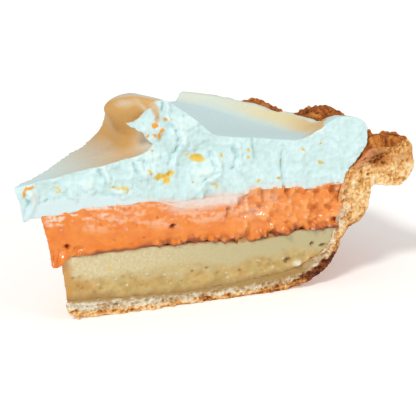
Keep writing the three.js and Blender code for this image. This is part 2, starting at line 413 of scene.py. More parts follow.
def buildCrust():
    plan = crustPlan
    crust = bentBlock("pastryCrust", plan["counts"], placeCrust)
    crumbs = list(addCrumbs())
    pick(*crumbs, crust)
    bpy.ops.object.join()
    evenOut(crust, plan["voxel"])
    p, n = readPoints(crust), readNormals(crust)
    station, inner = crustSection(p)
    near, far = cutFaces(p, plan["reliefDepth"])
    nearFace, cut = facing(n, near, far)
    x, y, z = p.T
    onRim = ease(9, 11, station)
    base = 1 - ease(4, 6, station)

    # Torn crumb on the cuts, flaky sheets in the base and up the wall, crags outside.
    wide = noiseAt(p, plan["lumpSize"], 3.1, 2)
    crumb = noiseAt(p, plan["crumbSize"], 7.7, 2)
    grain = noiseAt(p, plan["grainSize"], 1.9)
    sand = noiseAt(p, plan["sandSize"], 4.4)
    upTheWall = np.column_stack([station * 2.2, y / 3, inner * 5])
    sheets = lerp(noiseAt(upTheWall, 1, 5.5, 2), noiseAt(p, plan["sheetSize"], 5.5, 2), base)
    flaky = np.maximum(base, ease(0.5, 0.8, inner) * (1 - ease(9, 10.5, station)))
    hole, number = cellsAt(p, plan["holeSize"], 0.4)
    hollow = near * spot(x, z, plan["hollow"])
    torn = ease(0.9, 0.93, number + 0.3 * hollow) * (1 - ease(0.1, 0.4, hole)) * ease(5.5, 7.5, station)
    rough = 0.5 * wide + 0.6 * crumb + 0.5 * grain
    onCut = lerp(rough, 0.3 * wide + 0.7 * sheets + 0.3 * crumb + 0.55 * grain, flaky) - 0.9 * torn
    gaping = hollow * ease(-0.35, 0.35, crumb + 0.6 * grain)
    onCut = onCut - 0.6 * hollow - 1.8 * gaping
    soaked = inner + 0.14 * crumb + 0.1 * wide + 0.2 * ease(20, 85, x) - 0.06
    soaked = ease(0.7, 0.86, soaked) * (1 - ease(3.4, 5, station))
    onCut = onCut * (1 - 0.5 * soaked)
    onSkin = lerp(0.35, 1.0, onRim) * wide + lerp(0.4, 0.6, onRim) * crumb + 0.3 * grain

    dip = near * onRim * ease(0.55, 0.95, inner) * (n[:, 2] > -0.3)
    p[:, 2] -= plan["cutDip"] * dip
    p = pushCuts(p, near, far, onCut, onCut)
    p = p + n * ((1 - np.maximum(near, far)) * onSkin * ease(0.2, 1.5, p[:, 2]))[:, None]
    p[:, 2] = np.maximum(p[:, 2], 0)
    writePoints(crust, p)

    # How light the crumb is, lighter where it stands out and darker in its pits and hollow: partly its own
    # colour, partly painted light and shade; and where each coat of colour lies.
    tone = 0.2 * wide + 0.45 * lerp(crumb, sheets, flaky) + 0.55 * grain + 0.45 * sand + 0.1 * (1 - base)
    angle = np.degrees(np.arctan2(y, x))
    rimTop = onRim * (1 - cut) * ease(0.2, 0.7, n[:, 2])
    # painted shade in the torn pits and in the open crumb's hollow and gaps
    tone = tone - 0.9 * torn - 0.3 * hollow - 0.4 * gaping
    tone = tone - rimTop * (0.06 + 0.15 * within(angle, 10, 14, 23, 27))
    tone = tone + nearFace * (0.12 * (1 - ease(35, 39, z)) - 0.15 * ease(38, 44, z)) * ease(7, 8.5, station)
    tone = tone - nearFace * (0.35 * spot(x, z, plan["brownPatch"]) + 0.2 * base * ease(40, 80, x))
    strip = ease(0.5, 0.85, inner + 0.25 * sheets) * (1 - ease(6.5, 9, station))
    pale = np.maximum(base * ease(0.3, 0.5, inner + 0.1 * crumb), 0.85 * strip)
    outside = (1 - ease(0.1, 0.34, inner)) * within(station, 3, 4, 6, 8)
    under = (1 - ease(0.36, 0.56, inner + 0.12 * crumb)) * within(station, 3.3, 3.9, 4.9, 5.8)
    addMask(crust, "tone", tone - 0.5 * under * cut)
    addMask(crust, "pale", cut * pale)
    addMask(crust, "soaked", np.maximum(cut, ease(0.85, 0.95, inner)) * soaked)
    # brown skin outside and under the base's edge, and painted shade in the hollow's deepest gaps
    brownAndShade = cut * most([0.6 * outside, under, 0.8 * gaping])
    addMask(crust, "skin", np.maximum((1 - cut) * ease(2.6, 4, station), brownAndShade))
    addMask(crust, "rosy", nearFace * ease(0.9, 0.97, inner) * within(station, 9.6, 10.2, 11, 11.6))
    toasted = ease(36.5, 41, z) * ease(-0.5, 0.4, wide + 0.6 * crumb)
    addMask(crust, "toasted", 0.7 * nearFace * toasted)
    stained = ease(0.74, 0.96, inner + 0.2 * crumb) * within(z, 19, 22, 34, 37)
    addMask(crust, "stained", 0.75 * cut * stained * ease(-0.5, 0.2, grain + 0.6 * crumb))
    addMask(crust, "mauve", 0.6 * nearFace * ease(0.72, 0.9, inner) * onRim * (1 - ease(11.5, 12.5, station)))
    covered = (np.maximum(near, far) < 0.1) & (inner > 0.93) & (station < 10.4) | (p[:, 2] < 0.02)
    thinHidden(crust, covered, 0.08)
    return crust


# Yellow custard.

yellowPlan = {
    "tip": (12.3, 11),  # the point's radius, below and above
    "counts": (90, 50, 16),
    "voxel": 0.4,
    "reliefDepth": 1.5,
    "pores": [  # on the near cut: along, height, half width, half height and tilt
        (90, 14.4, 1.1, 0.9, 20), (93.6, 13.6, 1.5, 0.7, 10), (98, 15.6, 0.9, 0.6, 60),
        (81.6, 10, 1.6, 1.3, 20),
    ],
    "poreDepth": 1.2,
    "curd": (85, 8.9, 2.4, 1.5, 15),
    "curdHeight": 1.6,
    "fleck": (25.1, 14.7, 0.6, 1.5, 0),
    "wetUpTo": (0.32, 0.56),  # share of the height where the wet lower part ends
    "seamAt": 0.4,  # and where most of its small holes lie
    "pockSize": 1.7,
    "pockDepth": 0.7,
    "glintHeight": 0.35,
    "close": [(0.3, "#c7b88c"), (0.5, "#d2c499"), (0.7, "#dcd2aa")],
    "coats": {
        "shade": "#bbb185",
        "wet": [(0.3, "#ad914f"), (0.65, "#cab273")],
        # amber tone in the wet part, and painted shade on the point's side and in the pores
        "amber": "#c68e3c",
        "stain": "#a8702f",
        # painted shade in pores and pocks, and a darker brown foot, partly painted shade
        "dark": "#8f6c34",
        "fleck": "#e0bd55",
        # pale curd, and painted highlights on the glints
        "pale": "#e9e8d2",
    },
}


def placeYellow(u, share, w):
    low, high = stations[crustPlan["baseStation"], 1], slicePlan["yellowTop"]
    level = lerp(low, high, w)
    start = tipRadius(lerp(*yellowPlan["tip"], w), share)
    r = lerp(start, wallRadius(level), u)
    return atSlice(r, share, lerp(floorHeight(r), high, w))


def buildYellow():
    plan = yellowPlan
    layer = bentBlock("yellowCustard", plan["counts"], placeYellow)
    evenOut(layer, plan["voxel"])
    p, n = readPoints(layer), readNormals(layer)
    x, y, z = p.T
    r = np.hypot(x, y)
    near, far = cutFaces(p, plan["reliefDepth"])
    cut = np.maximum(near, far)

    # Nearly smooth, with pocks and glints in its wet lower part.
    floor = floorHeight(np.clip(r, stations[0, 0], stations[3, 0]))
    height = (z - floor) / (slicePlan["yellowTop"] - floor)
    low = 1 - ease(*plan["wetUpTo"], height + 0.2 * noiseAt(p, 6, 2.2))
    wave = 0.14 * noiseAt(p, 6, 4.4) + 0.07 * noiseAt(p, 1.1, 6.1)
    hole, number = cellsAt(p * (0.8, 1, 1.3), plan["pockSize"], 8.2)
    seam = np.exp(-((height - plan["seamAt"] - 0.16 * noiseAt(p, 9, 5.1)) / 0.13) ** 2)
    pitted = np.maximum(seam, 0.6 * low) * ease(0.06, 0.2, height)
    pocks = ease(0.58, 0.66, number) * (1 - ease(0.14, 0.42, hole)) * pitted
    glints = (1 - ease(0.4, 0.46, number)) * (1 - ease(0.1, 0.3, hole)) * ease(0.25, 0.6, pitted)
    pores = near * spots(x, z, plan["pores"])
    curd = near * spot(x, z, plan["curd"])
    wet = np.maximum(low, 0.6 * seam)
    push = wave - plan["pockDepth"] * pocks + plan["glintHeight"] * glints
    push = push + 0.3 * wet * noiseAt(p, 1.6, 3.3, 2)
    push = push - 0.1 * (1 - ease(0.2, 1.6, z - floor))
    p = pushCuts(p, near, far, push - plan["poreDepth"] * pores + plan["curdHeight"] * curd, push)
    lift = jointLift(p, slicePlan["yellowJoint"], near, far) + slicePlan["overlap"] * cut
    p[:, 2] += lift * ease(13, 19, z) - slicePlan["overlap"] * cut * (1 - ease(0, 2, z - floor))
    meetWall(p, cut)
    writePoints(layer, p)

    # Where each coat of colour lies, with painted shade on the point's side and in the pores and pocks, and
    # painted highlights on the glints.
    # the point's side and the near cut's end beside it get painted shade
    tipFace = (1 - cut) * (1 - ease(18, 26, r)) * ease(0.2, 0.6, -n[:, 0])
    tipEdge = near * (1 - ease(0.3, 2.6, x - lerp(13.4, 11.6, height) + 1.4 * noiseAt(p, 2.4, 7.9)))
    addMask(layer, "wet", wet * cut)
    addMask(layer, "shade", cut * ease(14, 80, x))
    clouds = 0.3 * ease(-0.1, 0.5, noiseAt(p, (4, 4, 2.4), 4.9, 2)) + 0.35 * (1 - ease(15, 28, x))
    addMask(layer, "amber", most([tipFace, 0.85 * tipEdge, 0.8 * pores, wet * cut * clouds]))
    addMask(layer, "stain", cut * ease(18.2, 19.4, z + 0.8 * noiseAt(p, (2.4, 2.4, 1.2), 1.4)))
    # pale curd, and painted highlights on the glints
    addMask(layer, "pale", np.maximum(curd, 0.9 * glints * cut))
    base = 1 - ease(0.2, 2.2, z - floor + 0.8 * noiseAt(p, 4, 6.7))
    # painted shade in the pores and pocks; darker along the foot, partly brown and partly painted shade
    addMask(layer, "dark", most([0.9 * pores, 0.7 * pocks * cut, 0.6 * base * cut]))
    addMask(layer, "fleck", near * spot(x, z, plan["fleck"]))
    thinHidden(layer, (cut < 0.1) & (r > 26), 0.1)
    return layer


# Orange custard.

orangePlan = {
    "tip": (8.6, 5.8),  # the point's radius, below and above
    "counts": (100, 50, 16),
    "voxel": 0.38,
    "reliefDepth": 1.8,
    "holes": [
        (26.5, 33.2, 1.6, 0.6, 5), (44.7, 25.3, 1.7, 0.9, 12), (13.2, 22.6, 0.9, 1.1, 20),
        (23.6, 18.2, 1.4, 0.5, 0),
    ],
    "holeDepth": 1.3,
    "notches": [[(72.7, 34), (73.1, 29.8)], [(80.7, 34), (81.5, 30)], [(62, 29), (61.5, 26.6)]],
    "notchDepth": 0.7,
    "patches": [(70.5, 27.2, 5, 3, 5), (76.2, 30.4, 4, 2.4, -5)],  # rubbed with cream
    "sliver": [(40.6, 33.6), (44, 32.6), (47.6, 31)],
    "blob": (11.2, 19.4, 3.6, 2.6, 0),  # hangs over at the point
    "beadsFrom": 36,  # radius where the lower edge turns from smooth to beaded
    "beadSize": (2, 2, 2.6),
    "roughFrom": (55, 68),  # radius where the smooth cut turns to torn lumps
    "cellSize": 1.7,
    "ragged": 2.2,  # reaches over the crust in tongues
    "oranges": [(0.3, "#e3771f"), (0.5, "#e98427"), (0.72, "#ee9141")],
    # the smear coat holds cream smears and painted highlights on the glints; the deep coat holds painted
    # shade in holes, notches, pits, gaps and between beads, and a dark line of liquid along the lower edge,
    # partly painted shade
    "coats": {"lit": "#f6a860", "smear": "#f3d3bb", "veil": "#e6dbd5", "deep": "#8a3a0b"},
}


def placeOrange(u, share, w):
    level = lerp(slicePlan["yellowTop"], slicePlan["orangeTop"], w)
    start = tipRadius(lerp(*orangePlan["tip"], w), share)
    return atSlice(lerp(start, wallRadius(level), u), share, level)


def buildOrange():
    plan = orangePlan
    layer = bentBlock("orangeCustard", plan["counts"], placeOrange)
    evenOut(layer, plan["voxel"])
    p = readPoints(layer)
    x, y, z = p.T
    r = np.hypot(x, y)
    near, far = cutFaces(p, plan["reliefDepth"])
    cut = np.maximum(near, far)
    tip = (1 - cut) * (1 - ease(16, 24, r))

    # Smooth near the point, torn lumps near the crust, beads along the lower edge.
    rough = ease(*plan["roughFrom"], r + 6 * noiseAt(p, 7, 1.1))
    grain = noiseAt(p, 1.2, 8.8)
    small, smallNumber = cellsAt(p, plan["cellSize"], 3.4)
    pits = ease(0.8, 0.84, smallNumber) * (1 - ease(0.1, 0.34, small)) * (1 - rough)
    glints = ease(lerp(0.16, 0.4, rough), lerp(0.1, 0.3, rough), smallNumber) * (1 - ease(0.1, 0.3, small))
    smooth = 0.3 * noiseAt(p, (5, 5, 3), 2.7, 2) + 0.15 * grain + 0.2 * noiseAt(p, 2.4, 1.6) - 0.5 * pits
    lumps = 1.6 * noiseAt(p, (4.2, 4.2, 3.6), 5.9, 2) + 1.1 * noiseAt(p, 2, 4.6)
    lumps = lumps + 0.9 * (0.45 - small) + 0.3 * grain
    rise = z - slicePlan["yellowTop"]
    bead = 1 - ease(0.4, 3.2, rise)
    beaded = ease(plan["beadsFrom"] - 8, plan["beadsFrom"] + 8, r)
    bump, bumpNumber = cellsAt(p, plan["beadSize"], 9.4)
    beading = bead * (0.5 + beaded * (1.2 * (0.5 - bump) + 0.6 * (bumpNumber - 0.5)))
    clot = (1 - ease(14, 25, r)) * (1 - ease(2.5, 5.5, rise + 1.5 * noiseAt(p, 3, 6.2)))
    beading = beading + clot * (1.6 * (0.45 - small) + 0.9 * (smallNumber - 0.5))
    blob = near * spot(x, z, plan["blob"])
    holes = near * spots(x, z, plan["holes"])
    cuts = near * strokes(x + 0.5 * noiseAt(p, 1.6, 2.4), z, plan["notches"], 0.8)
    patches = near * spots(x, z, plan["patches"])
    sliver = near * stroke(x, z, plan["sliver"], 0.6)
    push = lerp(smooth, lumps, rough * (1 - 0.4 * patches)) + beading + 0.35 * glints
    nearPush = push - plan["holeDepth"] * holes - plan["notchDepth"] * cuts + 1.4 * blob + 0.4 * sliver
    p = pushCuts(p, near, far, nearPush, push)
    p[:, 0] -= tip * (0.5 * noiseAt(p, 3.4, 5.9, 2) + 0.8 * beading) + 1.3 * blob
    drop = 0.5 * (1 - beaded) * noiseAt(p, (5, 5, 9), 3.8) + beaded * (1.5 * (0.5 - bump) - 0.2)
    lift = jointLift(p, slicePlan["yellowJoint"], near, far) - cut * drop
    p[:, 2] += lift * (1 - ease(0, 6, rise)) - 0.7 * blob * (1 - ease(0, 5, rise))
    lift = jointLift(p, slicePlan["creamJoint"], near, far) + slicePlan["overlap"] * cut
    p[:, 2] += lift * ease(30, 33.2, z)
    meetWall(p, cut, plan["ragged"])
    writePoints(layer, p)

    # Cream dragged over the cut, and where each coat of colour lies, with painted light on the raised lumps,
    # painted highlights on the glints and painted shade in holes, gaps and between beads.
    below = slicePlan["orangeTop"] + near * curveAt(slicePlan["creamJoint"], x) - z
    streaks = combed(p, 84, (1.1, 5, 5), 6.6, 2) + 0.7 * noiseAt(p, 1.1, 3.9, 2)
    chalk = ease(0.12, 0.6, streaks + 0.3 - 0.12 * below) * within(x, 6, 9, 28, 34)
    chalk = chalk * (1 - ease(2.4, 4.2, below))
    faint = 0.5 * ease(-0.2, 0.6, streaks + 0.1) * within(x, 14, 22, 60, 84) * (1 - ease(5, 9, below))
    veil = (1 - ease(0.8, 3.4, below + 1.4 * streaks)) * within(x, 41, 48, 64, 69)
    patchy = patches * ease(-0.25, 0.35, combed(p, 80, (0.9, 3, 3), 1.7, 2))
    # cream smears, and painted highlights on the glints
    smear = most([chalk, faint, 0.6 * patchy, 0.8 * glints])
    addMask(layer, "lit", cut * rough * (0.3 + 0.5 * ease(0.2, 1.1, lumps)) * ease(1.5, 4, rise))
    addMask(layer, "smear", cut * np.maximum(smear, sliver))
    addMask(layer, "veil", 0.9 * cut * veil)
    shaded = bead * beaded * ease(0.35, 0.6, bump)
    recess = (1 - ease(0.3, 1.5, rise + 0.6 * noiseAt(p, 2.2, 5.7))) * ease(14, 22, x)
    gaps = rough * 0.25 * ease(0.45, 1.2, -lumps)
    # painted shade in holes, notches, pits, gaps and between beads; the dark line along the lower edge is
    # partly liquid, partly painted shade
    deep = most([holes, 0.4 * cuts, 0.9 * shaded, gaps, recess, 0.35 * pits])
    addMask(layer, "deep", cut * deep)
    thinHidden(layer, (cut < 0.1) & (r > 24), 0.1)
    return layer


# Whipped cream.

creamPlan = {
    "atPoint": 41.4,
    "rise": 0.175,
    "slopeHollow": 0.8,
    "slopeEnd": 45,
    "tip": (2.2, 0.6),
    "tipReach": 1.7,
    "tipLength": 14,
    # The hollow's foot, by distance into the slice, and the same by share of the angle.
    "foot": [(0, 40.1), (2, 38.6), (5, 35.4), (8, 33.2), (12, 32), (18, 31.2), (27, 30.6), (36, 30)],
    "footSpread": [(0, 40), (0.1, 37.7), (0.25, 34.8), (0.5, 33.8), (0.75, 35.8), (1, 40.8)],
    "wall": [(-11, 0), (-6, 0.015), (-3, 0.05), (-1.2, 0.12), (-0.2, 0.22), (0.6, 0.42), (1.3, 0.62),
             (2.4, 0.8), (4.2, 0.93), (7, 1), (9, 1)],  # share of the height, behind the foot
    "wallInside": [(-11, 0), (-8, 0.015), (-5, 0.07), (-3, 0.15), (-1.2, 0.27), (0, 0.4), (1, 0.55),
                   (2.2, 0.73), (3.6, 0.87), (5.4, 0.96), (8, 1), (9, 1)],
    # By distance into the slice: the crest behind the foot, the tail's end, the peak's height and its lean.
    "crest": [(0, 3.6), (2, 3.7), (5, 5.9), (8, 8.6), (14, 9.1), (20, 9.9), (27, 10), (36, 9.1)],
    "tailEnd": [(0, 59.3), (8, 60.6), (20, 58), (36, 54.6)],
    "height": [(0, 14.6), (4, 15.7), (8, 15.8), (16, 13.2), (29, 8.7), (36, 7.9)],
    "lean": [(0, 3.2), (2, 4.9), (5, 7), (8, 8.1), (14, 6.6), (20, 3.4), (27, 0.8), (36, 0)],
    "leanHeights": (50.5, 61),
    "leanStart": 4,
    "leanEnd": 15,
    "valleyHeight": 51.2,
    "valleyFrom": 60,
    "valleyFall": 0.13,
    "valleyScoop": 1.4,
    "valleyMost": 3,
    "ringInner": [(0, 83), (0.08, 86), (0.16, 89), (0.5, 88), (0.8, 87), (1, 84.5)],
    "ringCrest": [(0, 100), (0.08, 98.5), (0.16, 97.2), (0.5, 96), (0.8, 94), (1, 89.6)],
    "ringHeight": [(0, 8.3), (0.07, 7.4), (0.14, 5.3), (0.2, 3.9), (0.28, 4.6), (0.38, 4.8), (0.5, 4.1),
                   (0.6, 4.4), (0.8, 3.8), (1, 3)],
    "ringDrop": [(0, 3.6), (0.12, 3), (0.3, 4.4), (0.6, 4.2), (1, 4)],
    "dropFrom": (102, 0.5),  # at the near cut, and this far behind the crest from the next share on
    "dropShares": (0.06, 0.2),
    "edge": 107.6,
    "counts": (150, 70, 20),
    "voxel": 0.38,
    "reliefDepth": 1.4,
    "plateSize": 8.5,
    "foldSize": (5, 5, 6),
    "pimpleSize": 1.05,
    # along the tone: painted light on ridges, painted shade in grooves and creases
    "whites": [(0.15, "#c3dddb"), (0.5, "#cdebef"), (0.85, "#e3f9f7")],
    "coats": {
        # painted shade on the upward-facing tops beyond the curl
        "cool": "#cce6ea",
        "beige": "#d2e8ed",
        "blush": "#e5d3ca",
        # painted shade on the swoosh's inner wall, and a pale yellow tint along the ring's top
        "butter": "#f0dba4",
        # painted warm shade on the slope, the curl's wall, the swoosh and in creases
        "tan": "#d8ac6e",
        # painted deeper warm shade on the curl's inner wall
        "toast": "#cc9d58",
        "yolk": "#e8c958",
        "carrot": "#f0a320",
    },
}


def creamHeight(r, share):
    plan = creamPlan
    x, y = r * np.cos(share * turn), r * np.sin(share * turn)
    middle = np.sin(np.pi * share)
    slope = plan["atPoint"] + plan["rise"] * np.minimum(r, plan["slopeEnd"])
    slope = slope - plan["slopeHollow"] * middle * ease(0, plan["slopeEnd"], r)
    foot = curveAt(plan["foot"], y)
    past = ease(foot + curveAt(plan["crest"], y), curveAt(plan["tailEnd"], y), x)
    soft = 0.7 * ease(1.5, 6, y) * (1 - ease(9, 15, y))
    wall = lerp(curveAt(plan["wall"], x - foot), curveAt(plan["wallInside"], x - foot), soft)
    top = curveAt(plan["height"], y) * wall * (1 - past)
    floor = plan["valleyHeight"] - plan["valleyFall"] * (x - plan["valleyFrom"])
    floor = floor - plan["valleyScoop"] * middle ** 2
    base = lerp(slope, np.minimum(floor, slope + plan["valleyMost"]), past)
    inner, crest = curveAt(plan["ringInner"], share), curveAt(plan["ringCrest"], share)
    climb = np.clip((r - inner) / (crest - inner), 0, 1)
    climb = lerp(climb ** 2.2, climb * climb * (3 - 2 * climb), 1 - ease(0.03, 0.14, share))
    inside = ease(*plan["dropShares"], share)
    dropFrom = lerp(plan["dropFrom"][0], crest + plan["dropFrom"][1], inside)
    off = np.clip((r - dropFrom) / (plan["edge"] - dropFrom), 0, 1)
    rounded = 1 - np.sqrt(1 - 0.98 * off * off)
    gentle = 0.6 * ease(-0.1, 1.1, off) + 0.4 * rounded
    fall = curveAt(plan["ringDrop"], share) * lerp(rounded, gentle, inside)
    return base + top + curveAt(plan["ringHeight"], share) * climb - fall


def curlOver(x, y, z):  # what stands high on the peak leans towards the point
    plan = creamPlan
    foot = curveAt(plan["foot"], y)
    crestAt = foot + curveAt(plan["crest"], y)
    high = ease(*plan["leanHeights"], z)
    close = 1 - ease(crestAt, crestAt + plan["leanEnd"], x)
    ridge = ease(foot - plan["leanStart"], foot, x)
    return x - curveAt(plan["lean"], y) * high * close * ridge, y, z


def placeCream(u, share, w):
    plan = creamPlan
    foot = curveAt(plan["footSpread"], share)
    edge = plan["edge"] + 0 * foot
    # The start mesh is finer at the curl.
    knots = [(0, 0 * foot), (0.24, foot - 2), (0.42, foot + 5), (0.66, foot + 24), (1, edge)]
    spread = 0 * u
    for (a, low), (b, high) in zip(knots, knots[1:]):
        spread = np.where((u >= a) & (u <= b), lerp(low, high, (u - a) / (b - a)), spread)
    spread = spread / plan["edge"]
    bottom = slicePlan["orangeTop"]
    level = lerp(bottom, creamHeight(edge, share), w)
    start = tipRadius(lerp(*plan["tip"], w), share)
    r = lerp(start, np.minimum(wallRadius(level), plan["edge"]), spread)
    topR = lerp(tipRadius(plan["tip"][1], share), plan["edge"], spread)
    x, y, z = atSlice(r, share, lerp(bottom, creamHeight(topR, share), w))
    x = x - plan["tipReach"] * np.maximum(0, 1 - r / plan["tipLength"]) ** 2
    return curlOver(x, y, z)


creamPlan["flake"] = {  # torn rag hanging from the curl's lip at the near cut, from its root to its tip
    "root": 42,
    "tip": 31,
    "below": [(0, 49.2), (0.26, 50.5), (0.45, 52.3), (0.54, 54), (0.62, 54.5), (0.7, 54.8), (0.78, 55.7),
              (0.86, 56), (1, 57.1)],
    "above": [(0, 62.6), (0.27, 61.2), (0.45, 60.3), (0.54, 59.4), (0.6, 58.7), (0.76, 57.7), (0.9, 57.5),
              (1, 57.4)],
    "thick": (1.8, 0.5),
    "bend": 0.9,
    "counts": (24, 4, 12),
}


def placeFlake(u, share, w):
    plan = creamPlan["flake"]
    z = lerp(curveAt(plan["below"], u), curveAt(plan["above"], u), w)
    y = -0.1 - plan["bend"] * u ** 2 + share * lerp(*plan["thick"], u)
    return lerp(plan["root"], plan["tip"], u), y, z


creamPlan["marks"] = {  # on the near cut
    "dimples": [  # along, height, half width, half height, tilt and depth
        (52.7, 45.2, 3.2, 1.8, -14, 0.9), (49.4, 46.5, 1, 0.6, -20, 0.3), (41, 40.7, 2.7, 1.3, 5, 0.6),
        (43.9, 41.3, 2, 1.3, 50, 0.6), (42.9, 39.4, 1.6, 1.9, -20, 0.6), (42.6, 40.6, 1.8, 1.4, 0, 0.7),
        (37.8, 42.4, 0.7, 1.6, 35, 0.35),
        (92.2, 40.4, 1.4, 0.8, -15, 0.5), (78.2, 36.9, 0.8, 0.9, 0, 0.4), (78.8, 42.3, 0.7, 0.6, 0, 0.35),
        (68.2, 46.3, 0.6, 0.8, 30, 0.3), (68.1, 44.1, 0.7, 0.5, 0, 0.3), (85.9, 45.1, 1, 0.7, -30, 0.3),
        (71.5, 36.6, 0.6, 0.7, 20, 0.3), (92, 46.4, 0.7, 0.8, 0, 0.25), (60, 45.5, 0.7, 0.9, 0, 0.3),
    ],
    "yolkLines": [
        [(56.6, 37.1), (58.3, 37), (58.9, 36.2), (58.2, 35.6)],
        [(10, 40.5), (11.4, 40.2), (11.7, 39.4), (10.9, 38.8)],
        [(26, 38.9), (30.8, 38.4), (31.6, 37.8), (30.6, 37.3)],
    ],
    "specks": [  # orange custard dragged up by the knife
        (42.8, 57.5, 0.9, 0.8, 20), (44.4, 57.7, 0.5, 0.4, 0), (39.6, 56, 1.5, 1, -10),
        (41.5, 54.3, 1, 1, 0), (41.2, 52.5, 0.9, 1.7, 15), (37.6, 53.2, 1, 0.6, 40),
        (39.2, 53, 0.8, 0.5, -40), (38.7, 48.9, 0.6, 0.4, 0), (50.9, 38.3, 0.5, 0.5, 0),
    ],
    "hook": [(4.6, 41.1), (2.9, 41), (2.2, 40.3), (2, 38.9)],  # a line of it at the point
    "blush": (4.6, 37.8, 1.2, 2.6, 0),
    "lens": (28.6, 38, 3.4, 1.4, 4),  # a flat flake, pressed in
    "fan": (41.5, 49.5, 8, 9, 0),  # fine lines that rise under the curl
    "folds": [  # torn edges, with a groove on their left
        [(46.6, 54), (48, 51.5), (47.6, 49.4), (45.8, 46.9), (44.8, 44.2), (44.6, 41.5)],
        [(53, 47.6), (57, 46.9), (57.6, 44.3), (58.6, 42.2), (58.4, 39.8), (56, 38.6)],
        [(42.8, 62), (43.2, 58), (45.4, 55)], [(34, 45), (35.4, 42)],
        [(14.6, 39), (14.4, 37.6), (15.6, 36.7)],
        [(24, 44), (26.4, 39.6)], [(64.4, 48), (65.2, 44), (64.6, 41)],
        [(3, 38.8), (3.8, 37.2), (3.4, 35.2), (2.2, 34.2)],
    ],
    "grooves": [[(69.7, 49.6), (70.1, 46), (70.9, 43)], [(79, 44.3), (79.3, 39), (80, 33.7)]],
    "creases": [([(36, 64.2), (38.6, 62.8), (40, 60)], 2.2), ([(40, 60.4), (40.5, 58.6), (40.5, 57.4)], 1.5)],
    "corner": (38.6, 1, 51),  # the hollow's corner, where the painted warm shade is a little lighter
    "cloud": (32.3, 61.8, 4, 2, 10),  # a lighter patch in the painted shade inside the curl
    "paleLip": ([(35, 63.2), (36, 62), (37.6, 60)], 1.5),
    "pocket": (83.5, 92.6),  # where the hollow behind the right hump, with its painted warm shade, opens at the near cut
    "bandTop": [(3, 36), (14, 36.8), (20.3, 37.1), (24.3, 36.2), (30.4, 35.2), (39.3, 34.3), (60, 34)],
    "bandEnd": (34, 44),  # a smooth band runs along the foot up to here
}


